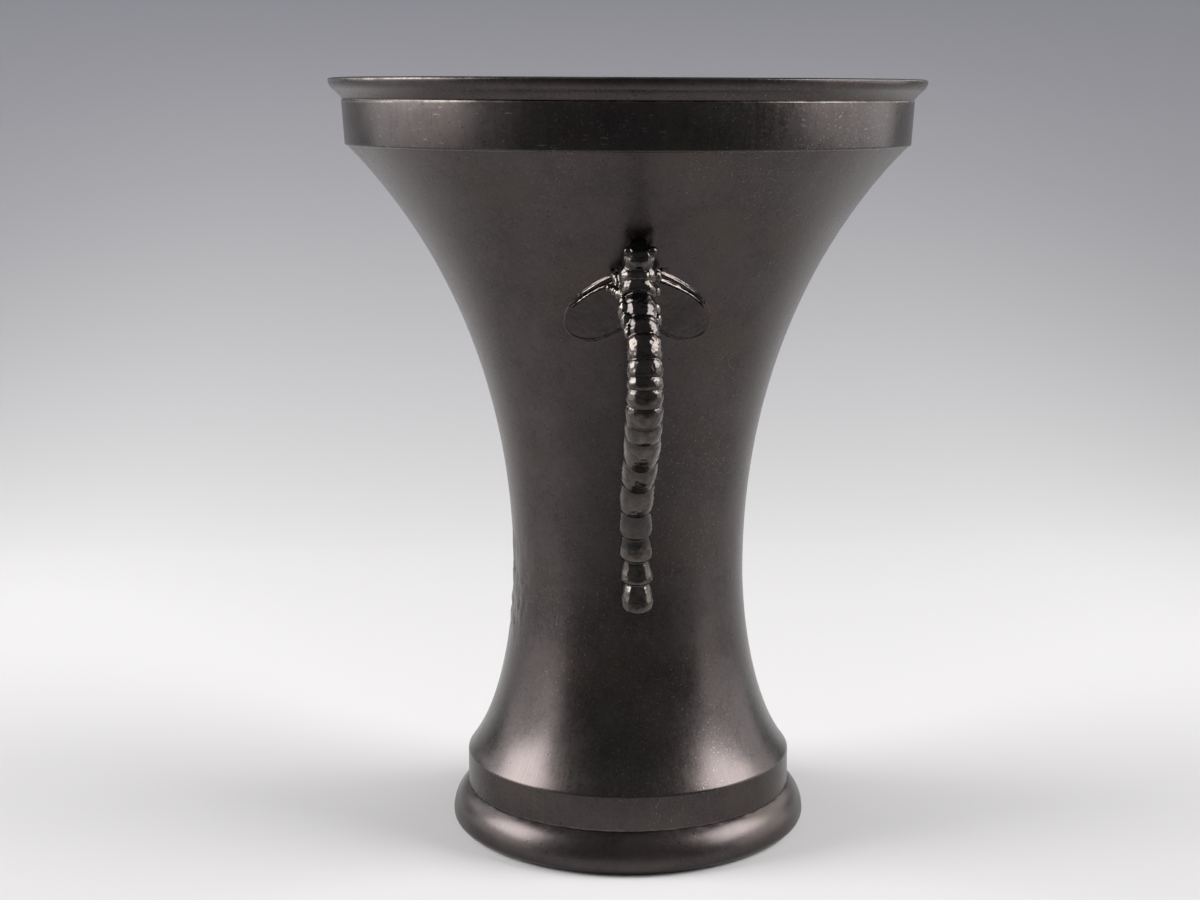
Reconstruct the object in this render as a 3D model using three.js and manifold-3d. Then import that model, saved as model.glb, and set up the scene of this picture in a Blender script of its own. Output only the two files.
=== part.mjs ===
// Bronze flower vase: a cast trumpet body on a turned foot ring, with a pair of insect handles.
// Millimetres, +Z up. The origin is on the floor, under the centre of the foot.
// The front handle lies towards -Y, and the back handle is its copy, half a turn round the vase.

import * as THREE from "three";
import { mergeVertices } from "three/addons/utils/BufferGeometryUtils.js";
import Module from "manifold-3d";

const wasm = await Module();
wasm.setup();

// Clearance between pieces that are seated on each other
const FIT_GAP = 0.3;

// Body, from the lip down
const HEIGHT = 240;
const WALL = 3.2;
const LIP_RADIUS = 93.1;
const LIP_THICKNESS = 3.6;
const LIP_CROWN = 0.6; // rise of the rounded top of the lip
const LIP_FACE = 2.2; // height of the lip's edge
const LIP_OVERHANG = 4; // past the top of the band
const LIP_LEAN = 0.5; // how far that edge leans in
const COVE_HEIGHT = 3.8; // moulding between the lip and the band
const COVE_HOLLOW = 0.2; // 0 gives a flat chamfer, 1 a full hollow
const ARRIS = 0.3; // sharp edge of the band, proud of the cove
const BAND_HEIGHT = 13.5;
const BAND_TAPER = 0.8; // narrower by this at its foot
const BAND_WALL = 3.6;
const BAND_ROUND = 0.5;
const BAND_STEP = 0.8; // from the foot of the band in to the flare

// Trumpet curve: where it is narrowest, and how it leaves the band, the waist and the collar
const WAIST_RADIUS = 37.3;
const WAIST_HEIGHT = 85.4;
const MOUTH_SLOPE = THREE.MathUtils.degToRad(45.2); // from the vertical
const MOUTH_PULL = 23.8;
const WAIST_PULL = 74.8;
const SKIRT_SLOPE = THREE.MathUtils.degToRad(38.5);
const SKIRT_PULL = 25.3;

// Collar, base plate and foot ring
const COLLAR_RADIUS = 52.7;
const COLLAR_TOP = 24.2;
const COLLAR_WALL = 3.8;
const PLATE_THICKNESS = 3;
const PLATE_LEDGE = 2.6; // shoulder inside the body that the plate is pushed up against
const SOLDER_LEG = 1.6;
const SPIGOT_HEIGHT = 5;
const SPIGOT_WALL = 3.4;
const FOOT_HEIGHT = 12.7;
const FOOT_RADIUS = 57.7;
const FOOT_BELLY = 3.3; // height of the widest line
const FOOT_TUCK = 4.5; // drawn in by this at the floor
const FOOT_STEP = 0.3; // set back under the collar
const FOOT_CHAMFER = 1.5; // inner edge at the floor

// Handle: its route leaves the wall at the thorax, loops out and comes back to the wall at the tail
const THORAX_DROP = 31.9; // from the foot of the band to the top of the thorax
const THORAX_STANDOFF = 4.2; // from the wall to the middle of the thorax
const THORAX_PULL = 12;
const LOOP_DROP = 35; // from the top of the thorax to the outermost ring
const LOOP_STANDOFF = 34;
const LOOP_PULL = 19;
const TAIL_DROP = 108.2; // from the top of the thorax to the tip of the tail
const TAIL_STANDOFF = 4.7;
const TAIL_PULL = 30;
const HEAD_LENGTH = 6.5;
const HEAD_RADIUS = 4.7;
const THORAX_LENGTH = 12;
const THORAX_RADIUS = 5.6;
const THORAX_LOBES = 2;
const EYE_RADIUS = 2.1;
const EYE_SPREAD = 3.7; // from the middle to each eye
const RINGS = 15;
const RING_RADIUS = 5.2;
const RING_WAIST = 4.35;
const RING_GROWTH = 1.2; // 1 gives rings of one length, more gives longer rings towards the tail
const TIP_RADIUS = 1.3; // where the head and the tail round off

// Wing: distances round the wall from the middle of the handle, drops below the top of the thorax, relief
const WING_ROOT = 4.2;
const WING_SPAN = 22.2;
const WING_TOP_DROP = 1.2;
const WING_TIP_DROP = 17.5;
const WING_FOOT_DROP = 23;
const WING_ROOT_LENGTH = 16;
const WING_FOOT_REACH = 12; // lowest point of the trailing edge
const WING_LEAD_SLOPE = THREE.MathUtils.degToRad(23); // leading edge at the root, below the level
const WING_LEAD_PULL = 10;
const WING_TIP_PULL = 6.5;
const WING_FOOT_PULL = 6;
const WING_SKIN = 0.9;
const WING_RIM = 1.3;
const WING_RIM_WIDTH = 0.9;
const WING_RIDGE = 2; // height of the thick leading edge
const WING_RIDGE_WIDTH = 3.2;
const WING_RIDGE_FADE = [0.2, 0.7]; // how level the edge runs where the ridge begins, and where it is full
const WING_LOOP_LIMIT = 0.5; // share of the way to the middle that a loop of the wing may go in

// Rivets through the wall into the handle
const RIVET_RADIUS = 2.2;
const RIVET_HEAD_RADIUS = 4;
const RIVET_HEAD_HEIGHT = 1.5;
const RIVET_DEPTH = 4.5; // into the handle

// Facets
const TURN_SEGMENTS = 44;
const FLARE_STEPS = 12;
const SKIRT_STEPS = 8;
const MOULDING_STEPS = 4;
const ROUND_STEPS = 2;
const HANDLE_SIDES = 10;
const EYE_SIDES = 8;
const RING_STATIONS = 4;
const HEAD_STATIONS = 6;
const WING_SIDES = 28;
const RIVET_SIDES = 16;
const MERGE_DISTANCE = 1e-4;

// Levels that follow from the sizes above
const LIP_SHOULDER = HEIGHT - LIP_CROWN;
const COVE_TOP = LIP_SHOULDER - LIP_FACE;
const BAND_TOP = COVE_TOP - COVE_HEIGHT;
const BAND_FOOT = BAND_TOP - BAND_HEIGHT;
const BAND_TOP_RADIUS = LIP_RADIUS - LIP_OVERHANG;
const BAND_FOOT_RADIUS = BAND_TOP_RADIUS - BAND_TAPER;
const SPIGOT_TOP = FOOT_HEIGHT + SPIGOT_HEIGHT;
const PLATE_UNDERSIDE = SPIGOT_TOP + FIT_GAP;
const PLATE_TOP = PLATE_UNDERSIDE + PLATE_THICKNESS;
const SHOULDER_HEIGHT = PLATE_TOP + FIT_GAP;
const REBATE_RADIUS = COLLAR_RADIUS - COLLAR_WALL;
const PLATE_RADIUS = REBATE_RADIUS - FIT_GAP;
const WELL_RADIUS = PLATE_RADIUS - PLATE_LEDGE;
const THORAX_HEIGHT = BAND_FOOT - THORAX_DROP;
const LOOP_HEIGHT = THORAX_HEIGHT - LOOP_DROP;
const TAIL_HEIGHT = THORAX_HEIGHT - TAIL_DROP;
const WING_TOP = THORAX_HEIGHT - WING_TOP_DROP;
const WING_TIP = THORAX_HEIGHT - WING_TIP_DROP;
const WING_FOOT = THORAX_HEIGHT - WING_FOOT_DROP;

const point = (radius, height) => new THREE.Vector2(radius, height);

// Curves and outlines

function arc(centre, across, up, from, to, steps = MOULDING_STEPS) {
  const points = [];
  for (let step = 0; step <= steps; step += 1) {
    const angle = THREE.MathUtils.lerp(from, to, step / steps);
    points.push(point(centre.x + across * Math.cos(angle), centre.y + up * Math.sin(angle)));
  }
  return points;
}

// The outside of the trumpet from the collar up to the band
function trumpetOutline() {
  const collar = point(COLLAR_RADIUS, COLLAR_TOP);
  const waist = point(WAIST_RADIUS, WAIST_HEIGHT);
  const mouth = point(BAND_FOOT_RADIUS - BAND_STEP, BAND_FOOT);
  const skirtPull = point(-Math.sin(SKIRT_SLOPE), Math.cos(SKIRT_SLOPE)).multiplyScalar(SKIRT_PULL);
  const mouthPull = point(-Math.sin(MOUTH_SLOPE), -Math.cos(MOUTH_SLOPE)).multiplyScalar(MOUTH_PULL);
  const skirt = new THREE.CubicBezierCurve(collar, collar.clone().add(skirtPull), waist, waist);
  const flare = new THREE.CubicBezierCurve(
    waist,
    waist.clone().add(point(0, WAIST_PULL)),
    mouth.clone().add(mouthPull),
    mouth,
  );
  return [...skirt.getSpacedPoints(SKIRT_STEPS), ...flare.getSpacedPoints(FLARE_STEPS).slice(1)];
}

const trumpet = trumpetOutline();

// Unit normal of the trumpet's outside at one of its points
function trumpetNormal(index) {
  const before = trumpet[Math.max(index - 1, 0)];
  const after = trumpet[Math.min(index + 1, trumpet.length - 1)];
  const along = after.clone().sub(before).normalize();
  return point(along.y, -along.x);
}

// The trumpet moved out by a distance, or in where it is negative
function trumpetOffset(distance) {
  return trumpet.map((place, index) => place.clone().addScaledVector(trumpetNormal(index), distance));
}

// Point and outward normal of the wall at a height
function wallAt(height) {
  let index = 1;
  while (index < trumpet.length - 1 && trumpet[index].y < height) {
    index += 1;
  }
  const low = trumpet[index - 1];
  const high = trumpet[index];
  const share = (height - low.y) / (high.y - low.y);
  const place = low.clone().lerp(high, share);
  const normal = trumpetNormal(index - 1).lerp(trumpetNormal(index), share).normalize();
  return { place, normal };
}

// Solids

// A closed outline, listed up its outside, turned round the vase's axis
function turned(outline, segments = TURN_SEGMENTS) {
  const closed = outline[0].x === 0 ? outline : [...outline, outline[0].clone()];
  return new THREE.LatheGeometry(closed, segments).rotateX(Math.PI / 2);
}

function solidFrom(geometry) {
  const bare = geometry.clone();
  bare.deleteAttribute("normal");
  bare.deleteAttribute("uv");
  const merged = mergeVertices(bare, MERGE_DISTANCE);
  const corners = merged.index.array;
  const triVerts = [];
  for (let first = 0; first < corners.length; first += 3) {
    const [a, b, c] = corners.slice(first, first + 3);
    if (a !== b && b !== c && c !== a) {
      triVerts.push(a, b, c);
    }
  }
  const vertProperties = merged.attributes.position.array;
  return new wasm.Manifold(
    new wasm.Mesh({ numProp: 3, vertProperties, triVerts: Uint32Array.from(triVerts) }),
  );
}

function geometryFrom(solid) {
  const mesh = solid.getMesh();
  const geometry = new THREE.BufferGeometry();
  geometry.setAttribute("position", new THREE.BufferAttribute(mesh.vertProperties, 3));
  geometry.setIndex(new THREE.BufferAttribute(mesh.triVerts, 1));
  geometry.computeVertexNormals();
  return geometry;
}

const turnedHalfway = (geometry) => geometry.clone().rotateZ(Math.PI);

// Handle route and the stations along it

// The middle line of the handle, from the tip of the head to the tip of the tail, in the plane X = 0
function handleRoute() {
  const onWall = (height, standoff) => {
    const { place } = wallAt(height);
    return new THREE.Vector3(0, -place.x - standoff, height);
  };
  const thorax = onWall(THORAX_HEIGHT, THORAX_STANDOFF);
  const loop = onWall(LOOP_HEIGHT, LOOP_STANDOFF);
  const tail = onWall(TAIL_HEIGHT, TAIL_STANDOFF);
  const { normal } = wallAt(THORAX_HEIGHT);
  const downWall = new THREE.Vector3(0, -normal.y, -normal.x);
  const up = new THREE.Vector3(0, 0, 1);
  const route = new THREE.CurvePath();
  route.add(new THREE.LineCurve3(thorax.clone().addScaledVector(downWall, -HEAD_LENGTH), thorax));
  route.add(new THREE.CubicBezierCurve3(
    thorax,
    thorax.clone().addScaledVector(downWall, THORAX_PULL),
    loop.clone().addScaledVector(up, LOOP_PULL),
    loop,
  ));
  route.add(new THREE.CubicBezierCurve3(
    loop,
    loop.clone().addScaledVector(up, -LOOP_PULL),
    tail.clone().addScaledVector(up, TAIL_PULL),
    tail,
  ));
  return route;
}

const route = handleRoute();
const routeLength = route.getLength();
const abdomenStart = HEAD_LENGTH + THORAX_LENGTH;
const ringStart = (ring) => abdomenStart + (routeLength - abdomenStart) * (ring / RINGS) ** RING_GROWTH;

// Stations of one swelling between two waists, as distances along the route and radii there
function swelling(from, to, startWaist, belly, endWaist, count) {
  const stations = [];
  for (let step = 0; step < count; step += 1) {
    const share = step / count;
    const waist = THREE.MathUtils.lerp(startWaist, endWaist, share);
    const bulge = Math.sqrt(Math.sin(Math.PI * share));
    stations.push({
      distance: THREE.MathUtils.lerp(from, to, share),
      radius: waist + (belly - waist) * bulge,
    });
  }
  return stations;
}

function handleStations() {
  const stations = swelling(0, HEAD_LENGTH, TIP_RADIUS, HEAD_RADIUS, RING_WAIST, HEAD_STATIONS);
  for (let lobe = 0; lobe < THORAX_LOBES; lobe += 1) {
    const from = HEAD_LENGTH + (THORAX_LENGTH * lobe) / THORAX_LOBES;
    const to = from + THORAX_LENGTH / THORAX_LOBES;
    stations.push(...swelling(from, to, RING_WAIST, THORAX_RADIUS, RING_WAIST, RING_STATIONS));
  }
  for (let ring = 0; ring < RINGS; ring += 1) {
    const endWaist = ring === RINGS - 1 ? TIP_RADIUS : RING_WAIST;
    const from = ringStart(ring);
    const to = ringStart(ring + 1);
    stations.push(...swelling(from, to, RING_WAIST, RING_RADIUS, endWaist, RING_STATIONS));
  }
  stations.push({ distance: routeLength, radius: TIP_RADIUS });
  return stations;
}

// Rivets

// A low domed head inside the vase and a shank out through the wall, grown all over by a clearance
function rivet(height, clearance) {
  const { place, normal } = wallAt(height);
  const seat = -WALL - FIT_GAP;
  const headRadius = RIVET_HEAD_RADIUS + clearance;
  const headTop = seat - RIVET_HEAD_HEIGHT - clearance;
  const dome = arc(
    point(0, seat + clearance),
    headRadius,
    headTop - seat - clearance,
    Math.PI / 2,
    0,
  );
  dome[0].x = 0;
  const outline = [
    ...dome,
    point(RIVET_RADIUS + clearance, seat + clearance),
    point(RIVET_RADIUS + clearance, RIVET_DEPTH + clearance),
    point(0, RIVET_DEPTH + clearance),
  ];
  const lean = Math.atan2(normal.x, normal.y);
  return turned(outline, RIVET_SIDES).rotateX(lean).translate(0, -place.x, place.y);
}

// One rivet behind the thorax and one behind the last ring
const rivetHeights = {
  upper: route.getPoint((HEAD_LENGTH + abdomenStart) / 2 / routeLength).z,
  lower: route.getPoint((ringStart(RINGS - 1) + routeLength) / 2 / routeLength).z,
};
const rivetBores = Object.values(rivetHeights).map((height) => rivet(height, FIT_GAP));

// Body

function bodyOutline() {
  const inner = trumpetOffset(-WALL);
  const waistIndex = SKIRT_STEPS;
  const floorIndex = inner.findIndex((place, index) => index <= waistIndex && place.x < WELL_RADIUS);
  const wide = inner[floorIndex - 1];
  const narrow = inner[floorIndex];
  const well = narrow.clone().lerp(wide, (WELL_RADIUS - narrow.x) / (wide.x - narrow.x));
  const coveFoot = point(BAND_TOP_RADIUS - ARRIS, BAND_TOP + ARRIS);
  const coveTop = point(LIP_RADIUS - LIP_LEAN, COVE_TOP);
  const hollow = coveFoot.clone().lerp(coveTop, 0.5).lerp(point(coveFoot.x, coveTop.y), COVE_HOLLOW);
  const cove = new THREE.QuadraticBezierCurve(coveFoot, hollow, coveTop).getPoints(MOULDING_STEPS);
  const lipCentre = point(LIP_RADIUS - LIP_THICKNESS / 2, LIP_SHOULDER);
  return [
    point(REBATE_RADIUS, FOOT_HEIGHT + FIT_GAP),
    point(COLLAR_RADIUS, FOOT_HEIGHT + FIT_GAP),
    ...trumpet,
    ...arc(
      point(BAND_FOOT_RADIUS - BAND_ROUND, BAND_FOOT + BAND_ROUND),
      BAND_ROUND,
      BAND_ROUND,
      -Math.PI / 2,
      0,
      ROUND_STEPS,
    ),
    point(BAND_TOP_RADIUS, BAND_TOP),
    ...cove,
    ...arc(lipCentre, LIP_THICKNESS / 2, LIP_CROWN, 0, Math.PI),
    point(BAND_TOP_RADIUS - BAND_WALL, BAND_TOP),
    ...inner.slice(floorIndex).reverse(),
    well,
    point(WELL_RADIUS, SHOULDER_HEIGHT),
    point(REBATE_RADIUS, SHOULDER_HEIGHT),
  ];
}

function bodyGeometry() {
  let body = solidFrom(turned(bodyOutline()));
  for (const bore of rivetBores) {
    body = body.subtract(solidFrom(bore)).subtract(solidFrom(turnedHalfway(bore)));
  }
  return geometryFrom(body);
}

// Foot ring, base plate and solder

function footGeometry() {
  const crease = COLLAR_RADIUS - FOOT_STEP;
  const rise = FOOT_HEIGHT - FOOT_BELLY;
  const swell = FOOT_RADIUS - crease;
  const roundRadius = (swell * swell + rise * rise) / (2 * swell);
  const bore = PLATE_RADIUS - SPIGOT_WALL;
  const ovolo = arc(
    point(FOOT_RADIUS - roundRadius, FOOT_BELLY),
    roundRadius,
    roundRadius,
    0,
    Math.asin(rise / roundRadius),
  );
  const tuck = arc(point(FOOT_RADIUS - FOOT_TUCK, FOOT_BELLY), FOOT_TUCK, FOOT_BELLY, -Math.PI / 2, 0);
  return turned([
    point(bore, FOOT_CHAMFER),
    point(bore + FOOT_CHAMFER, 0),
    ...tuck,
    ...ovolo.slice(1),
    point(PLATE_RADIUS, FOOT_HEIGHT),
    point(PLATE_RADIUS, SPIGOT_TOP),
    point(bore, SPIGOT_TOP),
  ]);
}

function plateGeometry() {
  return turned([
    point(0, PLATE_UNDERSIDE),
    point(PLATE_RADIUS, PLATE_UNDERSIDE),
    point(PLATE_RADIUS, PLATE_TOP),
    point(0, PLATE_TOP),
  ]);
}

// A fillet of solder in the corner between the plate and the wall
function solderGeometry() {
  const foot = PLATE_TOP + FIT_GAP;
  const side = WELL_RADIUS - FIT_GAP;
  return turned([
    point(side - SOLDER_LEG, foot),
    point(side, foot),
    point(side, foot + SOLDER_LEG),
  ]);
}

// Handle solid

// A round section swept through the stations and closed at both ends, grown by a clearance
function sweptBeads(stations, clearance) {
  const across = new THREE.Vector3(1, 0, 0);
  const positions = [];
  const index = [];
  const push = (place) => positions.push(place.x, place.y, place.z);
  for (const { distance, radius } of stations) {
    const middle = route.getPoint(distance / routeLength);
    const along = route.getTangent(distance / routeLength);
    const out = new THREE.Vector3().crossVectors(along, across);
    for (let side = 0; side < HANDLE_SIDES; side += 1) {
      const angle = (2 * Math.PI * side) / HANDLE_SIDES;
      const grown = radius + clearance;
      push(middle.clone()
        .addScaledVector(across, grown * Math.cos(angle))
        .addScaledVector(out, grown * Math.sin(angle)));
    }
  }
  const head = positions.length / 3;
  push(route.getPoint(0).addScaledVector(route.getTangent(0), -clearance));
  const tail = head + 1;
  push(route.getPoint(1).addScaledVector(route.getTangent(1), clearance));
  const last = (stations.length - 1) * HANDLE_SIDES;
  for (let side = 0; side < HANDLE_SIDES; side += 1) {
    const next = (side + 1) % HANDLE_SIDES;
    for (let row = 0; row < last; row += HANDLE_SIDES) {
      const above = row + HANDLE_SIDES;
      index.push(row + side, row + next, above + next, row + side, above + next, above + side);
    }
    index.push(head, next, side, tail, last + side, last + next);
  }
  const geometry = new THREE.BufferGeometry();
  geometry.setAttribute("position", new THREE.Float32BufferAttribute(positions, 3));
  geometry.setIndex(index);
  return geometry;
}

// The whole insect without its wings, still running into the wall
function insectSolid(clearance) {
  let insect = solidFrom(sweptBeads(handleStations(), clearance));
  const brow = route.getPoint(HEAD_LENGTH / 2 / routeLength);
  const { normal } = wallAt(THORAX_HEIGHT);
  for (const side of [-1, 1]) {
    const eye = new THREE.SphereGeometry(EYE_RADIUS + clearance, EYE_SIDES, EYE_SIDES / 2);
    eye.translate(
      brow.x + side * EYE_SPREAD,
      brow.y - normal.x * EYE_RADIUS,
      brow.z + normal.y * EYE_RADIUS,
    );
    insect = insect.add(solidFrom(eye));
  }
  return insect;
}

// All that lies inside the vase's outside, grown by the seating gap
function wallEnvelope() {
  const skin = trumpetOffset(FIT_GAP);
  const outline = [
    point(0, skin[0].y),
    ...skin,
    point(0, skin[skin.length - 1].y),
  ];
  return solidFrom(turned(outline));
}

const envelope = wallEnvelope();

function handleGeometry() {
  let handle = insectSolid(0).subtract(envelope);
  for (const bore of rivetBores) {
    handle = handle.subtract(solidFrom(bore));
  }
  return geometryFrom(handle);
}

// Wings

// The wing's outline laid flat: distance round the wall from the handle, and height
function wingOutline() {
  const outline = new THREE.Path();
  outline.moveTo(WING_ROOT, WING_TOP);
  outline.bezierCurveTo(
    WING_ROOT + WING_LEAD_PULL * Math.cos(WING_LEAD_SLOPE),
    WING_TOP - WING_LEAD_PULL * Math.sin(WING_LEAD_SLOPE),
    WING_SPAN,
    WING_TIP + WING_TIP_PULL,
    WING_SPAN,
    WING_TIP,
  );
  outline.quadraticCurveTo(WING_SPAN, WING_FOOT, WING_FOOT_REACH + WING_FOOT_PULL, WING_FOOT);
  outline.lineTo(WING_FOOT_REACH, WING_FOOT);
  outline.quadraticCurveTo(WING_ROOT, WING_FOOT, WING_ROOT, WING_TOP - WING_ROOT_LENGTH);
  outline.closePath();
  return outline.getSpacedPoints(WING_SIDES).slice(0, WING_SIDES);
}

// A thin skin that lies on the wall, with a rim all round and a thick ridge along its leading edge
function wingGeometry(side) {
  const outline = wingOutline();
  const middle = outline.reduce((sum, place) => sum.add(place), point(0, 0)).divideScalar(WING_SIDES);
  const positions = [];
  const index = [];
  const pushOnWall = (flat, lift) => {
    const { place, normal } = wallAt(flat.y);
    const angle = (side * flat.x) / place.x;
    const radius = place.x + normal.x * lift;
    positions.push(radius * Math.sin(angle), -radius * Math.cos(angle), flat.y + normal.y * lift);
  };
  const leading = outline.map((place, corner) => {
    const before = outline[(corner + WING_SIDES - 1) % WING_SIDES];
    const after = outline[(corner + 1) % WING_SIDES];
    const along = after.clone().sub(before).normalize();
    return THREE.MathUtils.smoothstep(along.x, ...WING_RIDGE_FADE);
  });
  // Loops from the back, out to the edge and in again over the front, by their distance from the edge
  const skin = () => FIT_GAP + WING_SKIN;
  const loops = [
    { inset: WING_SPAN, lift: () => FIT_GAP },
    { inset: 0, lift: () => FIT_GAP },
    { inset: 0, lift: skin },
    { inset: WING_RIM_WIDTH, lift: (lead) => FIT_GAP + THREE.MathUtils.lerp(WING_RIM, WING_RIDGE, lead) },
    {
      inset: WING_RIDGE_WIDTH - WING_RIM_WIDTH,
      lift: (lead) => FIT_GAP + THREE.MathUtils.lerp(WING_SKIN, WING_RIDGE, lead),
    },
    { inset: WING_RIDGE_WIDTH, lift: skin },
  ];
  for (const { inset, lift } of loops) {
    outline.forEach((place, corner) => {
      const share = Math.min(inset / middle.distanceTo(place), WING_LOOP_LIMIT);
      pushOnWall(place.clone().lerp(middle, share), lift(leading[corner]));
    });
  }
  const back = positions.length / 3;
  pushOnWall(middle, FIT_GAP);
  const front = back + 1;
  pushOnWall(middle, FIT_GAP + WING_SKIN);
  const last = (loops.length - 1) * WING_SIDES;
  const triangle = (a, b, c) => (side > 0 ? index.push(a, b, c) : index.push(a, c, b));
  for (let corner = 0; corner < WING_SIDES; corner += 1) {
    const next = (corner + 1) % WING_SIDES;
    triangle(back, corner, next);
    for (let row = 0; row < last; row += WING_SIDES) {
      const over = row + WING_SIDES;
      triangle(row + corner, over + corner, over + next);
      triangle(row + corner, over + next, row + next);
    }
    triangle(front, last + next, last + corner);
  }
  const geometry = new THREE.BufferGeometry();
  geometry.setAttribute("position", new THREE.Float32BufferAttribute(positions, 3));
  geometry.setIndex(index);
  return geometryFrom(solidFrom(geometry).subtract(insectSolid(FIT_GAP)));
}

// Materials and assembly

function metal(color, roughness, metalness) {
  return new THREE.MeshStandardMaterial({ color, roughness, metalness });
}

const patina = metal(0x3d3836, 0.42, 0.85);
const polishedPatina = metal(0x2f2b2a, 0.28, 0.9);
const plainBronze = metal(0x4d4540, 0.6, 0.8);
const tin = metal(0x8b8c8a, 0.5, 0.9);

const vase = new THREE.Group();

function addPiece(group, name, geometry, material) {
  const piece = new THREE.Mesh(geometry, material.clone());
  piece.name = name;
  group.add(piece);
}

addPiece(vase, "vase_body", bodyGeometry(), patina);
addPiece(vase, "foot_ring", footGeometry(), patina);
addPiece(vase, "base_plate", plateGeometry(), plainBronze);
addPiece(vase, "base_solder_ring", solderGeometry(), tin);

const handle = handleGeometry();
const wings = { left: wingGeometry(-1), right: wingGeometry(1) };
for (const [face, turn] of [["front", 0], ["back", Math.PI]]) {
  const group = new THREE.Group();
  group.rotation.z = turn;
  addPiece(group, `${face}_handle`, handle, polishedPatina);
  for (const [side, wing] of Object.entries(wings)) {
    addPiece(group, `${face}_${side}_wing`, wing, polishedPatina);
  }
  for (const [level, height] of Object.entries(rivetHeights)) {
    addPiece(group, `${face}_${level}_rivet`, rivet(height, 0), plainBronze);
  }
  vase.add(group);
}

export default vase;
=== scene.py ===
import math

import bmesh
import bpy
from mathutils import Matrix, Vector, geometry, kdtree, noise


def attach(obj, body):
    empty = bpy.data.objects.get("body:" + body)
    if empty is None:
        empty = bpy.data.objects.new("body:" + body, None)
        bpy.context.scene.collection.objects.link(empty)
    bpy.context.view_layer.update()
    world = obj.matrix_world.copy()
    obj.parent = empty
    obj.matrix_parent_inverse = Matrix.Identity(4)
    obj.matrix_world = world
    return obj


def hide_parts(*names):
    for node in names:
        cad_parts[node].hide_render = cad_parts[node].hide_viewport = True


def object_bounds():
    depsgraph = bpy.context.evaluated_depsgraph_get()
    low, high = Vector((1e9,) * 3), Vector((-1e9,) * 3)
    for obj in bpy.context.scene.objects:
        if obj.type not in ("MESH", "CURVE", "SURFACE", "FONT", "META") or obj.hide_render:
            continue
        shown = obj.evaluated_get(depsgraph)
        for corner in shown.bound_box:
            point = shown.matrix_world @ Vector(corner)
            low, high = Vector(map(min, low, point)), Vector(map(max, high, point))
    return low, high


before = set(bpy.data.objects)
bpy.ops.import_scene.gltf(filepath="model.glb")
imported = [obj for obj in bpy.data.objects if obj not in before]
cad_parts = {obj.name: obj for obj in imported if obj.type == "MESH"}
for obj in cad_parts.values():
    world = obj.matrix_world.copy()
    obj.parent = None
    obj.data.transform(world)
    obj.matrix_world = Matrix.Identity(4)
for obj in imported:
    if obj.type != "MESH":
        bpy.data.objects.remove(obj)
cadLow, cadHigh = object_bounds()  # the CAD box, before anything is dressed
mm = 0.001
weld = 0.002 * mm  # points closer than this are merged
cornerReach = 0.02 * mm  # points this close to a corner belong to it
print("frame loaded with", len(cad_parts), "nodes")


# small helpers for working in object and edit mode

def deselectAll():
    bpy.ops.object.select_all(action="DESELECT")


def pick(piece):
    deselectAll()
    piece.select_set(True)
    bpy.context.view_layer.objects.active = piece


def editMode(piece):
    pick(piece)
    bpy.ops.object.mode_set(mode="EDIT")


def objectMode():
    bpy.ops.object.mode_set(mode="OBJECT")


def named(name):
    piece = bpy.context.object
    piece.name = name
    piece.data.name = name
    return piece


def applyModifier(piece, kind, **settings):
    pick(piece)
    modifier = piece.modifiers.new(kind.lower(), kind)
    for key, value in settings.items():
        setattr(modifier, key, value)
    bpy.ops.object.modifier_apply(modifier=modifier.name)


def applyPlace(piece):
    pick(piece)
    bpy.ops.object.transform_apply(location=True, rotation=True, scale=True)


def joinPieces(pieces):
    pick(pieces[0])
    for piece in pieces:
        piece.select_set(True)
    bpy.ops.object.join()
    return pieces[0]


def smooth(piece, angle):
    pick(piece)
    bpy.ops.object.shade_smooth_by_angle(angle=math.radians(angle))


def selectPoints(piece, wanted):
    mesh = bmesh.from_edit_mesh(piece.data)
    for vert in mesh.verts:
        vert.select = wanted(vert.co)
    mesh.select_flush_mode()
    bmesh.update_edit_mesh(piece.data)


def closeUp():
    bpy.ops.mesh.select_all(action="SELECT")
    bpy.ops.mesh.remove_doubles(threshold=weld)
    bpy.ops.mesh.normals_make_consistent(inside=False)


def mix(a, b, share):
    return a + (b - a) * share


def fade(value, low, high):
    share = min(max((value - low) / (high - low), 0), 1)
    return share * share * (3 - 2 * share)


def roughen(piece, size, amount, share):
    # pushes points in and out by soft noise, as far as share(place) lets it
    moves = []
    for vert in piece.data.vertices:
        push = noise.noise(vert.co / (size * mm)) * amount * mm * share(vert.co / mm)
        moves.append(vert.normal * push)
    for vert, move in zip(piece.data.vertices, moves):
        vert.co += move


# outlines: lists of (radius, height) in millimetres

def arcPoints(centre, across, up, start, end, count):
    points = []
    for step in range(count + 1):
        angle = math.radians(mix(start, end, step / count))
        points.append((centre[0] + across * math.cos(angle), centre[1] + up * math.sin(angle)))
    return points


def bezierPoints(start, pullStart, pullEnd, end, count):
    places = (Vector((*place, 0)) for place in (start, pullStart, pullEnd, end))
    return [(point.x, point.y) for point in geometry.interpolate_bezier(*places, count + 1)]


def bendPoints(start, corner, end, count):
    start, corner, end = Vector(start), Vector(corner), Vector(end)
    return bezierPoints(start, start.lerp(corner, 2 / 3), end.lerp(corner, 2 / 3), end, count)


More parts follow.
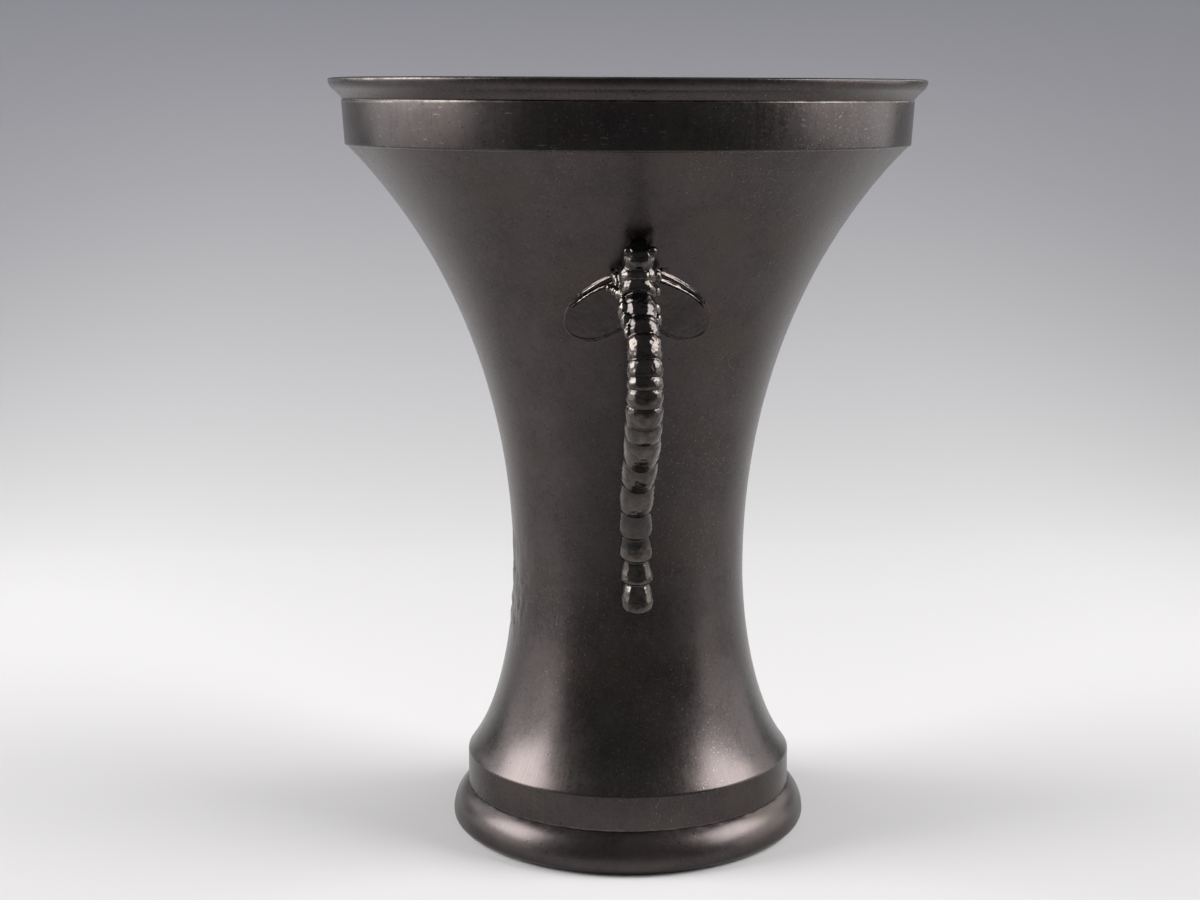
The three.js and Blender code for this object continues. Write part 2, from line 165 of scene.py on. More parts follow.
def turnOnLathe(name, outline, turns, softCorners=()):
    deselectAll()
    bpy.ops.mesh.primitive_plane_add(size=mm)
    piece = named(name)
    editMode(piece)
    bpy.ops.mesh.select_all(action="SELECT")
    bpy.ops.mesh.merge(type="CENTER")  # one point, drawn out along the outline
    here = Vector((outline[0][0] * mm, 0, outline[0][1] * mm))
    bpy.ops.transform.translate(value=here)
    for radius, height in outline[1:]:
        there = Vector((radius * mm, 0, height * mm))
        bpy.ops.mesh.extrude_region_move(TRANSFORM_OT_translate={"value": there - here})
        here = there
    bpy.ops.mesh.select_all(action="SELECT")
    bpy.ops.mesh.remove_doubles(threshold=weld)
    for (radius, height), size in softCorners:
        corner = Vector((radius * mm, 0, height * mm))
        selectPoints(piece, lambda co: (co - corner).length < cornerReach)
        bpy.ops.mesh.bevel(offset=size * mm, segments=4, affect="VERTICES")
    bpy.ops.mesh.select_all(action="SELECT")
    bpy.ops.mesh.spin(steps=turns, angle=2 * math.pi, center=(0, 0, 0), axis=(0, 0, 1))
    closeUp()
    objectMode()
    return piece


# vase body

bodyShape = {
    "height": cadHigh.z / mm, "lipRadius": cadHigh.x / mm,
    "lipThickness": 3.6, "lipCrown": 0.6, "lipFace": 2.2, "lipLean": 0.5, "lipOverhang": 4,
    "coveHeight": 3.8, "coveHollow": 0.2, "arris": 0.3, "coveSteps": 16, "rollStart": 12, "rollTop": 0.7,
    "bandHeight": 13.5, "bandTaper": 0.8, "bandWall": 3.6, "bandStep": 0.8,
    "waistRadius": 37.3, "waistHeight": 85.4, "waistPull": 74.8,
    "mouthSlope": 45.2, "mouthPull": 23.8, "skirtSlope": 38.5, "skirtPull": 25.3,
    "collarRadius": 52.7, "collarTop": 24.2, "collarFoot": 13, "collarWall": 3.8,
    "wall": 3.2, "wellRadius": 46, "wellDrop": 1, "shoulder": 21.3,
    "bandTopEdge": 0.12, "bandFootEdge": 0.7, "collarTopEdge": 0.5, "collarFootEdge": 0.1,
    "rimTilt": 0.35, "rimSag": 0.55, "settleFrom": 195,  # the mouth isn't quite level
    "ripple": 0.05, "rippleSize": 22,
    # the coarse patch at the waist, and the ragged seam above the foot
    "rough": 0.5, "roughSize": 2.2, "roughTurn": (0.82, 0.97), "roughRise": (58, 72), "roughFall": (90, 104),
    "seam": 0.16, "seamSize": 2.6, "seamReach": (0.1, 0.9), "seamLoop": 0.12,
    "innerDepth": 1.5, "innerEdge": 1,  # the inner finish starts this far in from mouth and collar
    "flareSteps": 72, "skirtSteps": 36, "turns": 256,
}
bandTop = bodyShape["height"] - bodyShape["lipCrown"] - bodyShape["lipFace"] - bodyShape["coveHeight"]
bandFoot = bandTop - bodyShape["bandHeight"]
bandTopRadius = bodyShape["lipRadius"] - bodyShape["lipOverhang"]
bandFootRadius = bandTopRadius - bodyShape["bandTaper"]


def trumpetPoints(shape):
    collar = (shape["collarRadius"], shape["collarTop"])
    waist = (shape["waistRadius"], shape["waistHeight"])
    mouth = (bandFootRadius - shape["bandStep"], bandFoot)
    skirt = math.radians(shape["skirtSlope"])
    lean = math.radians(shape["mouthSlope"])
    skirtPull = (
        collar[0] - shape["skirtPull"] * math.sin(skirt),
        collar[1] + shape["skirtPull"] * math.cos(skirt),
    )
    waistPull = (waist[0], waist[1] + shape["waistPull"])
    mouthPull = (
        mouth[0] - shape["mouthPull"] * math.sin(lean),
        mouth[1] - shape["mouthPull"] * math.cos(lean),
    )
    lower = bezierPoints(collar, skirtPull, waist, waist, shape["skirtSteps"])
    upper = bezierPoints(waist, waistPull, mouthPull, mouth, shape["flareSteps"])
    return lower + upper[1:]


trumpet = trumpetPoints(bodyShape)


def trumpetNormal(index):
    before = trumpet[max(index - 1, 0)]
    after = trumpet[min(index + 1, len(trumpet) - 1)]
    along = Vector((after[0] - before[0], after[1] - before[1])).normalized()
    return Vector((along.y, -along.x))


def trumpetOffset(distance):
    points = []
    for index, (radius, height) in enumerate(trumpet):
        normal = trumpetNormal(index)
        points.append((radius + normal.x * distance, height + normal.y * distance))
    return points


def wallAt(height):
    index = 1
    while index < len(trumpet) - 1 and trumpet[index][1] < height:
        index += 1
    low, high = trumpet[index - 1], trumpet[index]
    share = (height - low[1]) / (high[1] - low[1])
    normal = trumpetNormal(index - 1).lerp(trumpetNormal(index), share).normalized()
    return mix(low[0], high[0], share), normal


def rimOutline(shape):
    shoulder = (shape["lipRadius"], shape["height"] - shape["lipCrown"])
    coveFoot = Vector((bandTopRadius - shape["arris"], bandTop + shape["arris"]))
    coveTop = Vector((shape["lipRadius"] - shape["lipLean"], shoulder[1] - shape["lipFace"]))
    hollow = coveFoot.lerp(coveTop, 0.5).lerp(Vector((coveFoot.x, coveTop.y)), shape["coveHollow"])
    cove = bendPoints(coveFoot, hollow, coveTop, shape["coveSteps"])[:shape["rollStart"]]
    rollTop = coveTop.lerp(Vector(shoulder), shape["rollTop"])
    roll = bendPoints(cove[-1], coveTop, rollTop, 8)  # no crease above the cove
    half = shape["lipThickness"] / 2
    crown = arcPoints((shoulder[0] - half, shoulder[1]), half, shape["lipCrown"], 0, 180, 16)
    return cove + roll[1:] + crown


def bodyOutline(shape):
    inner = trumpetOffset(-shape["wall"])
    well = [
        place for index, place in enumerate(inner)
        if index > shape["skirtSteps"] or place[0] < shape["wellRadius"]
    ]
    rebate = shape["collarRadius"] - shape["collarWall"]
    return [
        (rebate, shape["collarFoot"]),
        (shape["collarRadius"], shape["collarFoot"]),
        (shape["collarRadius"], mix(shape["collarFoot"], shape["collarTop"], shape["seamLoop"])),
        *trumpet,
        (bandFootRadius, bandFoot),
        (bandTopRadius, bandTop),
        *rimOutline(shape),
        (bandTopRadius - shape["bandWall"], bandTop),
        *reversed(well[::2]),
        (shape["wellRadius"], well[0][1] - shape["wellDrop"]),
        (shape["wellRadius"], shape["shoulder"]),
        (rebate, shape["shoulder"]),
        (rebate, shape["collarFoot"]),
    ]


def roughShare(place):
    # on the -X side, fading in and out along the height
    turn = fade(-place.x / math.hypot(place.x, place.y), *bodyShape["roughTurn"])
    rise = fade(place.z, *bodyShape["roughRise"])
    return turn * rise * (1 - fade(place.z, *bodyShape["roughFall"]))


def seamShare(place):
    return 1 - fade(abs(place.z - bodyShape["collarFoot"]), *bodyShape["seamReach"])


def settleRim(piece, shape):
    for vert in piece.data.vertices:
        rise = fade(vert.co.z / mm, shape["settleFrom"], shape["height"])
        across = vert.co.x / mm / shape["lipRadius"]
        vert.co.z += (shape["rimSag"] * across * across - shape["rimTilt"] * across) * rise * mm


def makeBody(shape):
    body = turnOnLathe("vaseBody", bodyOutline(shape), shape["turns"], [
        ((shape["collarRadius"], shape["collarFoot"]), shape["collarFootEdge"]),
        ((shape["collarRadius"], shape["collarTop"]), shape["collarTopEdge"]),
        ((bandFootRadius, bandFoot), shape["bandFootEdge"]),
        ((bandTopRadius, bandTop), shape["bandTopEdge"]),
    ])
    roughen(body, shape["rippleSize"], shape["ripple"], lambda place: 1)
    roughen(body, shape["roughSize"], shape["rough"], roughShare)
    roughen(body, shape["seamSize"], shape["seam"], seamShare)
    settleRim(body, shape)
    return body


body = makeBody(bodyShape)
smooth(body, 40)
print("body turned:", len(body.data.polygons), "faces")


# foot ring, base plate and solder

footShape = {
    "height": 12.92, "radius": 57.7, "belly": 3.3, "tuck": 4.5, "step": 0.05, "chamfer": 1.5,
    "spigotRadius": 48.6, "spigotTop": 17.7, "bore": 45.2, "creaseEdge": 0.1, "spigotEdge": 0.4,
    "seam": 0.2, "seamSize": 2.1, "ripple": 0.05, "rippleSize": 18, "rippleRise": (0.5, 4), "turns": 256,
}


def footOutline(shape):
    crease = bodyShape["collarRadius"] - shape["step"]
    rise = shape["height"] - shape["belly"]
    swell = shape["radius"] - crease
    turn = (swell * swell + rise * rise) / (2 * swell)
    reach = math.degrees(math.asin(rise / turn))
    ovolo = arcPoints((shape["radius"] - turn, shape["belly"]), turn, turn, 0, reach, 24)
    tuckMiddle = (shape["radius"] - shape["tuck"], shape["belly"])
    tuck = arcPoints(tuckMiddle, shape["tuck"], shape["belly"], -90, 0, 14)
    return [
        (shape["bore"], shape["chamfer"]),
        (shape["bore"] + shape["chamfer"], 0),
        *tuck,
        *ovolo[1:],
        (shape["spigotRadius"], shape["height"]),
        (shape["spigotRadius"], shape["spigotTop"]),
        (shape["bore"], shape["spigotTop"]),
        (shape["bore"], shape["chamfer"]),
    ]


foot = turnOnLathe("footRing", footOutline(footShape), footShape["turns"], [
    ((bodyShape["collarRadius"] - footShape["step"], footShape["height"]), footShape["creaseEdge"]),
    ((footShape["bore"], footShape["spigotTop"]), footShape["spigotEdge"]),
])
roughen(foot, footShape["seamSize"], footShape["seam"], seamShare)
roughen(
    foot, footShape["rippleSize"], footShape["ripple"],
    lambda place: fade(place.z, *footShape["rippleRise"]),
)
smooth(foot, 40)

plateShape = {
    "radius": 48.6, "underside": 18, "top": 21, "edge": 0.4,
    "ringRadius": 31, "ringDepth": 0.35, "ringWidth": 1.1, "turns": 96,
}


def plateOutline(shape):
    middle = (shape["ringRadius"], shape["underside"])
    return [
        (0, shape["underside"]),
        *arcPoints(middle, shape["ringWidth"], shape["ringDepth"], 180, 0, 8),
        (shape["radius"], shape["underside"]),
        (shape["radius"], shape["top"]),
        (0, shape["top"]),
    ]


plate = turnOnLathe("basePlate", plateOutline(plateShape), plateShape["turns"], [
    ((plateShape["radius"], plateShape["underside"]), plateShape["edge"]),
    ((plateShape["radius"], plateShape["top"]), plateShape["edge"]),
])
smooth(plate, 40)

solderShape = {"side": 45.7, "foot": 21.3, "leg": 1.6, "turns": 160}


def solderOutline(shape):
    middle = (shape["side"] - shape["leg"], shape["foot"] + shape["leg"])
    hollow = arcPoints(middle, shape["leg"], shape["leg"], 0, -90, 8)
    return [(shape["side"], shape["foot"]), *hollow, (shape["side"], shape["foot"])]


solder = turnOnLathe("solderRing", solderOutline(solderShape), solderShape["turns"])
smooth(solder, 60)
print("foot ring, base plate and solder turned")


# insect handle

handleShape = {
    "thorax": 188, "thoraxStandoff": 4.2, "thoraxPull": 12, "thoraxLean": 14,
    "loop": 153, "loopStandoff": 34, "loopPull": 19,
    "tail": 79.8, "tailStandoff": 4.7, "tailPull": 45,
    "tailLift": 3.2, "liftLength": 27, "liftCurve": 1.2, "liftDepth": 9,
    "headLength": 6.5, "headRadius": 4.7, "neck": 4.5, "thoraxLength": 10, "thoraxRadius": 5.7,
    "thoraxWaist": 5.1, "rearRadius": 5.5, "rearWaist": 4.1,
    "ringLengths": [8.1, 5.6, 6.9, 4.75, 3.2, 4.35, 5.15, 5.85, 12.6, 11.65, 12.4, 10.35, 8.8, 8.1, 10.6],
    "ringRadii": [5, 5.1, 5.3, 5.4, 5.45, 5.5, 5.6, 5.65, 5.65, 5.6, 5.55, 5.4, 5.35, 5.4, 5.35],
    "ringLeans": [0.55, 0.55] + [0.5] * 7 + [0.55, 0.6, 0.66, 0.7, 0.74, 0.6],
    "ringCups": [0] * 10 + [0.1, 0.25, 0.4, 0.4, 0],  # 0 a round bead, 1 a cup
    "notches": [0.75] * 8 + [0.7, 0.75, 0.85, 1.3, 1.6, 1.5],
    "tipRadius": 1.8,
    # drift to the side: distance along the route, drift
    "sway": [(0, -0.5), (10, -0.9), (36, 0.3), (62, 0), (95, -0.5), (131, 0.4)],
    "eyeRadius": 1.35, "eyeSpread": 3.5, "eyeDistance": 1, "eyeLift": 1.4,
    # folded legs and wing roots: distance along the route, sideways, outward, radius, flatness
    "lobes": [
        (12.6, -8, -2.8, 1.2, 0.9), (13.6, -6.6, -1.8, 1.4, 0.9),
        (14.8, -5.4, -0.8, 1.5, 0.9), (16, -4.4, 0.2, 1.4, 0.9),
        (19, -5, 0.6, 1.7, 0.6), (21.5, -5, 1, 2, 0.6),
        (25, -4.7, 1.4, 1.8, 0.6), (28.5, -4.3, 1.8, 1.5, 0.6),
        (13.8, 5.4, -1.8, 1.3, 0.8), (21, 4.6, 0.6, 1.4, 0.6), (24.5, 4.6, 0.8, 1.4, 0.6),
        (10.4, -6, -2.4, 1.5, 0.8), (11.6, -5.6, -1.6, 1.4, 0.8), (10, 5.8, -2.4, 1.4, 0.8),
    ],
    # rubbedAndHighlightReach: distance from the route where crests turn pale, rubbed wear and painted
    # highlight
    "sides": 16, "voxel": 0.27, "seat": 0.1, "cutterTurns": 200, "rubbedAndHighlightReach": (4.75, 5.5),
    # cast skin: depth, sizes with their share on the lower rings, and the coarse brow
    "cast": 0.14, "castSizes": [(2.8, 0.6), (1.1, 0.4)], "castRise": (150, 168),
    "brow": 0.2, "browSize": 1.6, "browRise": (188, 192),
}


def routePoints(shape):
    def offWall(height, standoff):
        return Vector((0, -wallAt(height)[0] - standoff, height))

    thorax = offWall(shape["thorax"], shape["thoraxStandoff"])
    loop = offWall(shape["loop"], shape["loopStandoff"])
    tail = offWall(shape["tail"], shape["tailStandoff"])
    normal = wallAt(shape["thorax"])[1]
    downWall = Vector((0, -normal.y, -normal.x))
    offside = Vector((0, -normal.x, normal.y))
    lean = math.radians(shape["thoraxLean"])
    leave = downWall * math.cos(lean) + offside * math.sin(lean)
    up = Vector((0, 0, 1))
    head = [thorax - downWall * shape["headLength"], thorax]
    out = geometry.interpolate_bezier(
        thorax, thorax + leave * shape["thoraxPull"], loop + up * shape["loopPull"], loop, 80
    )
    back = geometry.interpolate_bezier(
        loop, loop - up * shape["loopPull"], tail + up * shape["tailPull"], tail, 120
    )
    return head + out[1:] + back[1:]


route = routePoints(handleShape)
routeDistances = [0]
for before, after in zip(route, route[1:]):
    routeDistances.append(routeDistances[-1] + (after - before).length)
routeLength = routeDistances[-1]


def swayAt(distance):
    sway = handleShape["sway"]
    for (start, first), (end, second) in zip(sway, sway[1:]):
        if distance <= end:
            return mix(first, second, fade(distance, start, end))
    return sway[-1][1]


def onRoute(distance, sideways=0, outward=0):
    index = 1
    while index < len(route) - 1 and routeDistances[index] < distance:
        index += 1
    share = (distance - routeDistances[index - 1]) / (routeDistances[index] - routeDistances[index - 1])
    along = (route[index] - route[index - 1]).normalized()
    place = route[index - 1].lerp(route[index], share)
    place += Vector((swayAt(distance) + sideways, along.z * outward, -along.y * outward))
    return place, along


beadShares = (0, 0.05, 0.16, 0.34, 0.53, 0.72, 0.82, 0.9, 0.96)
cupLip = 0.82  # share of a ring's length where a cup is widest


def swelling(start, end, startWaist, belly, endWaist, lean, cup=0):
    # radii of one bead, its belly at the share called lean
    stations = []
    for share in beadShares:
        waist = mix(startWaist, endWaist, share)
        across = abs(2 * share ** (math.log(0.5) / math.log(lean)) - 1)
        bead = (1 - across ** 2) ** 0.5
        if share < cupLip:
            flare = (share / cupLip) ** 0.85
        else:
            flare = (1 - ((share - cupLip) / (1 - cupLip)) ** 2) ** 0.5
        stations.append((mix(start, end, share), waist + (belly - waist) * mix(bead, flare, cup)))
    return stations


def handleStations(shape):
    tip, neck = shape["tipRadius"], shape["neck"]
    here = shape["headLength"]
    half = here + shape["thoraxLength"] / 2
    there = here + shape["thoraxLength"]
    waist = shape["rearWaist"]
    stations = swelling(0, here, tip, shape["headRadius"], neck, 0.6)
    stations += swelling(here, half, neck, shape["thoraxRadius"], shape["thoraxWaist"], 0.6)
    stations += swelling(half, there, shape["thoraxWaist"], shape["rearRadius"], waist, 0.5)
    scale = (routeLength - there) / sum(shape["ringLengths"])
    radii = shape["ringRadii"]
    for index, length in enumerate(shape["ringLengths"]):
        here, there = there, there + length * scale
        belly = radii[index]
        last = index + 1 == len(radii)
        nextWaist = tip if last else min(belly, radii[index + 1]) - shape["notches"][index]
        lean, cup = shape["ringLeans"][index], shape["ringCups"][index]
        stations += swelling(here, there, waist, belly, nextWaist, lean, cup)
        waist = nextWaist
    return stations + [(routeLength, tip)]


def sweepRings(name, stations, sides):
    place, along = onRoute(0)
    tilt = math.atan2(along.y, -along.z)
    radius = stations[0][1]
    deselectAll()
    bpy.ops.mesh.primitive_circle_add(
        vertices=sides, radius=radius * mm, fill_type="NGON", location=place * mm, rotation=(tilt, 0, 0)
    )
    piece = named(name)
    applyPlace(piece)
    editMode(piece)
    bpy.ops.mesh.select_all(action="SELECT")
    for distance, nextRadius in stations[1:]:
        nextPlace, along = onRoute(distance)
        nextTilt = math.atan2(along.y, -along.z)
        grow = nextRadius / radius
        bpy.ops.mesh.extrude_region_move(TRANSFORM_OT_translate={"value": (nextPlace - place) * mm})
        bpy.ops.transform.rotate(value=tilt - nextTilt, orient_axis="X", center_override=nextPlace * mm)
        bpy.ops.transform.resize(value=(grow, grow, grow), center_override=nextPlace * mm)
        place, tilt, radius = nextPlace, nextTilt, nextRadius
    bpy.ops.mesh.select_all(action="SELECT")
    bpy.ops.mesh.normals_make_consistent(inside=False)
    objectMode()
    return piece


def makeLobe(name, distance, sideways, outward, radius, flat=1):
    # a ball, or one flattened towards its side of the front
    place = onRoute(distance, sideways, outward)[0]
    deselectAll()
    bpy.ops.mesh.primitive_uv_sphere_add(
        segments=24, ring_count=16, radius=radius * mm, location=place * mm,
        rotation=(0, 0, math.copysign(math.pi / 4, -sideways)), scale=(flat, 1, 2 - flat),
    )
    lobe = named(name)
    applyPlace(lobe)
    return lobe


def liftTail(handle, shape):
    # the last rings lean out, their backs stay on the wall
    for vert in handle.data.vertices:
        height = min(max(vert.co.z / mm, trumpet[0][1]), bandFoot)
        share = max(1 - (height - shape["tail"]) / shape["liftLength"], 0)
        offWall = -vert.co.y / mm - wallAt(height)[0]
        front = min(max(offWall / shape["liftDepth"], 0), 1)
        vert.co.y -= shape["tailLift"] * share ** shape["liftCurve"] * front * mm


def makeHandle(shape):
    handle = sweepRings("frontHandle", handleStations(shape), shape["sides"])
    applyModifier(handle, "SUBSURF", levels=2, render_levels=2)
    parts = [handle]
    for side in (-1, 1):
        spread = side * shape["eyeSpread"]
        parts.append(makeLobe("eye", shape["eyeDistance"], spread, shape["eyeLift"], shape["eyeRadius"]))
    parts += [makeLobe("leg", *lobe) for lobe in shape["lobes"]]
    joinPieces(parts)
    applyModifier(handle, "REMESH", mode="VOXEL", voxel_size=shape["voxel"] * mm)
    applyModifier(handle, "SMOOTH", factor=0.5, iterations=2)
    liftTail(handle, shape)
    for size, least in shape["castSizes"]:
        roughen(handle, size, shape["cast"], lambda place: mix(least, 1, fade(place.z, *shape["castRise"])))
    roughen(handle, shape["browSize"], shape["brow"], lambda place: fade(place.z, *shape["browRise"]))
    return handle


def makeWallCutter(shape):
    skin = trumpetOffset(shape["seat"])
    return turnOnLathe("wallCutter", [(0, skin[0][1]), *skin, (0, skin[-1][1])], shape["cutterTurns"])


def markRubbedAndHighlight(piece, values):
    # how far each point is rubbed by hands and brightened as a painted highlight, read by the bronze
    rubbedAndHighlight = piece.data.attributes.new("rubbedAndHighlight", "FLOAT", "POINT")
    for index, value in enumerate(values):
        rubbedAndHighlight.data[index].value = value


def crestOf(handle):
    tree = kdtree.KDTree(len(route))
    for index, distance in enumerate(routeDistances):
        tree.insert(onRoute(distance)[0], index)
    tree.balance()
    reach = handleShape["rubbedAndHighlightReach"]
    return [fade(tree.find(vert.co / mm)[2], *reach) for vert in handle.data.vertices]


wallCutter = makeWallCutter(handleShape)
handle = makeHandle(handleShape)
applyModifier(handle, "BOOLEAN", operation="DIFFERENCE", object=wallCutter, solver="EXACT")
# the crests get pale bronze, partly rubbed wear and partly a painted highlight
markRubbedAndHighlight(handle, crestOf(handle))
smooth(handle, 50)
print("handle swept:", len(handle.data.polygons), "faces")


# wings, laid on the wall

wingShape = {
    "root": 4.2, "span": 22.5, "top": 186.8, "tip": 170.3, "foot": 164, "rootLength": 19, "footReach": 14.5,
    "leadSlope": 23, "leadPull": 10, "tipPull": 6.5, "heelPull": 4.2, "footPull": 4.6,
    "rootPull": 3, "rootDrop": 1, "rootFade": (3, 6.5), "rootShare": 0.5, "footShare": 0.6,
    "skin": 0.14, "edgeWidth": 0.6, "rim": 0.34, "rimWidth": 1.1, "rimRubAndHighlight": 0.4, "seat": 0.02,
    # the bar along the leading edge, with two ridges: height, place across the bar, width
    "leadTurn": (0.25, 0.7), "bar": 0.2, "barWidth": 3.6, "barTip": 0.55,
    "taperStart": 6, "barEnd": (18.5, 22),
    "ridge": 0.8, "ridges": [(0.85, 0.18, 0.1), (1.25, 0.68, 0.14)],
    "cast": 0.16, "castSize": 1.4, "castShare": 0.6,
    "sides": 200, "insetStep": 0.1, "insetSteps": 42, "fills": [0.2, 0.4, 0.6, 0.8, 1],
}


def evenPoints(points, count):
    places = [Vector(point) for point in points]
    lengths = [0]
    for before, after in zip(places, places[1:]):
        lengths.append(lengths[-1] + (after - before).length)
    even = []
    index = 1
    for step in range(count):
        wanted = lengths[-1] * step / count
        while lengths[index] < wanted:
            index += 1
        share = (wanted - lengths[index - 1]) / (lengths[index] - lengths[index - 1])
        even.append(places[index - 1].lerp(places[index], share))
    return even


def wingOutline(shape):
    slope = math.radians(shape["leadSlope"])
    top = (shape["root"], shape["top"])
    pull = shape["leadPull"]
    topPull = (top[0] + pull * math.cos(slope), top[1] - pull * math.sin(slope))
    tip = (shape["span"], shape["tip"])
    tipPull = (tip[0], tip[1] + shape["tipPull"])
    heelPull = (shape["span"], shape["tip"] - shape["heelPull"])
    toe = (shape["footReach"], shape["foot"])
    outerPull = (toe[0] + shape["footPull"], toe[1])
    innerPull = (toe[0] - shape["footPull"], toe[1])
    rootFoot = (shape["root"], shape["top"] - shape["rootLength"])
    rootPull = (rootFoot[0] + shape["rootPull"], rootFoot[1] - shape["rootDrop"])
    lead = bezierPoints(top, topPull, tipPull, tip, 60)
    heelCurve = bezierPoints(tip, heelPull, outerPull, toe, 30)[1:]
    rootCurve = bezierPoints(toe, innerPull, rootPull, rootFoot, 30)[1:]
    return evenPoints(lead + heelCurve + rootCurve + [top], shape["sides"])


def wingRelief(shape, inset, lead, width):
    # lift off the wall, and how far the spot is rubbed and brightened as a painted highlight
    rim = math.sin(math.pi * min(inset / shape["rimWidth"], 1)) ** 2
    across = min(inset / width, 1)
    ridge = sum(high * math.exp(-((across - at) / wide) ** 2) for high, at, wide in shape["ridges"])
    bar = shape["bar"] * math.sin(math.pi * across) ** 0.7 + shape["ridge"] * ridge
    skin = shape["skin"] * fade(inset, 0, shape["edgeWidth"])
    lift = skin + mix((shape["rim"] - shape["skin"]) * rim, bar, lead)
    return lift, mix(rim * shape["rimRubAndHighlight"], ridge, lead)


def makeWing(name, side, shape):
    outline = wingOutline(shape)
    count = len(outline)
    middle = sum(outline, Vector((0, 0))) / count
    inward, leads, widths = [], [], []
    for corner, place in enumerate(outline):
        along = (outline[(corner + 1) % count] - outline[corner - 1]).normalized()
        inward.append(Vector((along.y, -along.x)))
        lead = fade(along.x, *shape["leadTurn"]) * (1 - fade(place.x, *shape["barEnd"]))
        leads.append(lead * mix(shape["rootShare"], 1, fade(place.x, *shape["rootFade"])))
        taper = fade(place.x, shape["taperStart"], shape["barEnd"][1])
        widths.append(shape["barWidth"] * mix(1, shape["barTip"], taper))
    rows = [[(place.lerp(middle, share), 0, 0) for place in outline] for share in (1, 0.5, 0)]  # the back
    for step in range(shape["insetSteps"]):
        inset = step * shape["insetStep"]
        rows.append([
            (place + into * inset, *wingRelief(shape, inset, lead, width))
            for place, into, lead, width in zip(outline, inward, leads, widths)
        ])
    field = rows[-1]
    for share in shape["fills"]:
        rows.append([
            (place.lerp(middle, share), mix(lift, shape["skin"], share), 0) for place, lift, rubAndHighlight in field
        ])
    deselectAll()
    bpy.ops.mesh.primitive_grid_add(x_subdivisions=count, y_subdivisions=len(rows) - 1, size=mm)
    wing = named(name)
    rubsAndHighlights = []
    for index, vert in enumerate(wing.data.vertices):
        place, lift, rubAndHighlight = rows[index // (count + 1)][index % (count + 1) % count]
        lift *= mix(shape["footShare"], 1, fade(place.y, shape["foot"], shape["tip"]))
        lift += shape["seat"]
        radius, normal = wallAt(place.y)
        angle = side * place.x / radius
        reach = radius + normal.x * lift
        height = place.y + normal.y * lift
        vert.co = Vector((reach * math.sin(angle), -reach * math.cos(angle), height)) * mm
        rubsAndHighlights.append(rubAndHighlight)
    # rims and ridges get pale bronze: rubbed wear and a painted highlight
    markRubbedAndHighlight(wing, rubsAndHighlights)
    editMode(wing)
    closeUp()
    objectMode()
    roughen(wing, shape["castSize"], shape["cast"], lambda place: shape["castShare"])
    smooth(wing, 60)
    return wing


wings = {}
for side, sign in (("Left", -1), ("Right", 1)):
    wings[side] = makeWing(f"front{side}Wing", sign, wingShape)
print("wings laid on the wall")


# rivets that hold the handles, seen inside the vase

rivetShape = {
    "heights": {"Upper": 182.8, "Lower": 84.2}, "radius": 2.2, "depth": 4,
    "head": 4, "headHeight": 1.5, "headSeat": 0.05, "turns": 32,
}


def makeRivet(name, height, shape):
    seat = -bodyShape["wall"] - shape["headSeat"]
    dome = arcPoints((0, seat), shape["head"], -shape["headHeight"], 90, 0, 10)
    outline = [*dome, (shape["radius"], seat), (shape["radius"], shape["depth"]), (0, shape["depth"])]
    rivet = turnOnLathe(name, outline, shape["turns"])
    radius, normal = wallAt(height)
    rivet.rotation_euler = (math.atan2(normal.x, normal.y), 0, 0)
    rivet.location = Vector((0, -radius, height)) * mm
    applyPlace(rivet)
    smooth(rivet, 40)
    return rivet


rivets = {}
for level, height in rivetShape["heights"].items():
    rivets[level] = makeRivet(f"front{level}Rivet", height, rivetShape)


# back copies, half a turn round the vase

def copyToBack(piece):
    pick(piece)
    bpy.ops.object.duplicate(linked=False)
    copy = named(piece.name.replace("front", "back"))
    copy.rotation_euler = (0, 0, math.pi)
    applyPlace(copy)
    return copy


backHandle = copyToBack(handle)
backWings = {side: copyToBack(wing) for side, wing in wings.items()}
backRivets = {level: copyToBack(rivet) for level, rivet in rivets.items()}
bpy.data.objects.remove(wallCutter)
print("back handle copied")


# shader node helpers

def feed(tree, socket, value):
    if isinstance(value, bpy.types.NodeSocket):
        tree.links.new(value, socket)
    else:
        socket.default_value = value


def addNode(tree, kind, inputs=None, **settings):
    node = tree.nodes.new(kind)
    for key, value in settings.items():
        setattr(node, key, value)
    for key, value in (inputs or {}).items():
        feed(tree, node.inputs[key], value)
    return node


def mathNode(tree, operation, first, second=0):
    return addNode(tree, "ShaderNodeMath", {0: first, 1: second}, operation=operation).outputs[0]


def multiply(tree, first, *others):
    for other in others:
        first = mathNode(tree, "MULTIPLY", first, other)
    return first


def vectorNode(tree, operation, first, second):
    inputs = {0: first, "Scale" if operation == "SCALE" else 1: second}
    node = addNode(tree, "ShaderNodeVectorMath", inputs, operation=operation)
    return node.outputs["Value" if operation == "DISTANCE" else "Vector"]


def mapRange(tree, value, fromLow, fromHigh, toLow=0, toHigh=1, soft=False):
    inputs = {"Value": value, "From Min": fromLow, "From Max": fromHigh, "To Min": toLow, "To Max": toHigh}
    curve = "SMOOTHSTEP" if soft else "LINEAR"
    return addNode(tree, "ShaderNodeMapRange", inputs, interpolation_type=curve).outputs["Result"]


def mixColor(tree, share, first, second):
    inputs = {0: share, 6: first, 7: second}  # the colour sockets of this node
    return addNode(tree, "ShaderNodeMix", inputs, data_type="RGBA").outputs[2]


def noiseValue(tree, vector, scale, detail, roughness):
    inputs = {"Vector": vector, "Scale": scale, "Detail": detail, "Roughness": roughness}
    return addNode(tree, "ShaderNodeTexNoise", inputs).outputs["Fac"]


def cellNode(tree, vector, scale):
    return addNode(tree, "ShaderNodeTexVoronoi", {"Vector": vector, "Scale": scale}).outputs


def objectPlace(tree):
    return addNode(tree, "ShaderNodeTexCoord").outputs["Object"]


def splitPlace(tree):
    return addNode(tree, "ShaderNodeSeparateXYZ", {0: objectPlace(tree)}).outputs


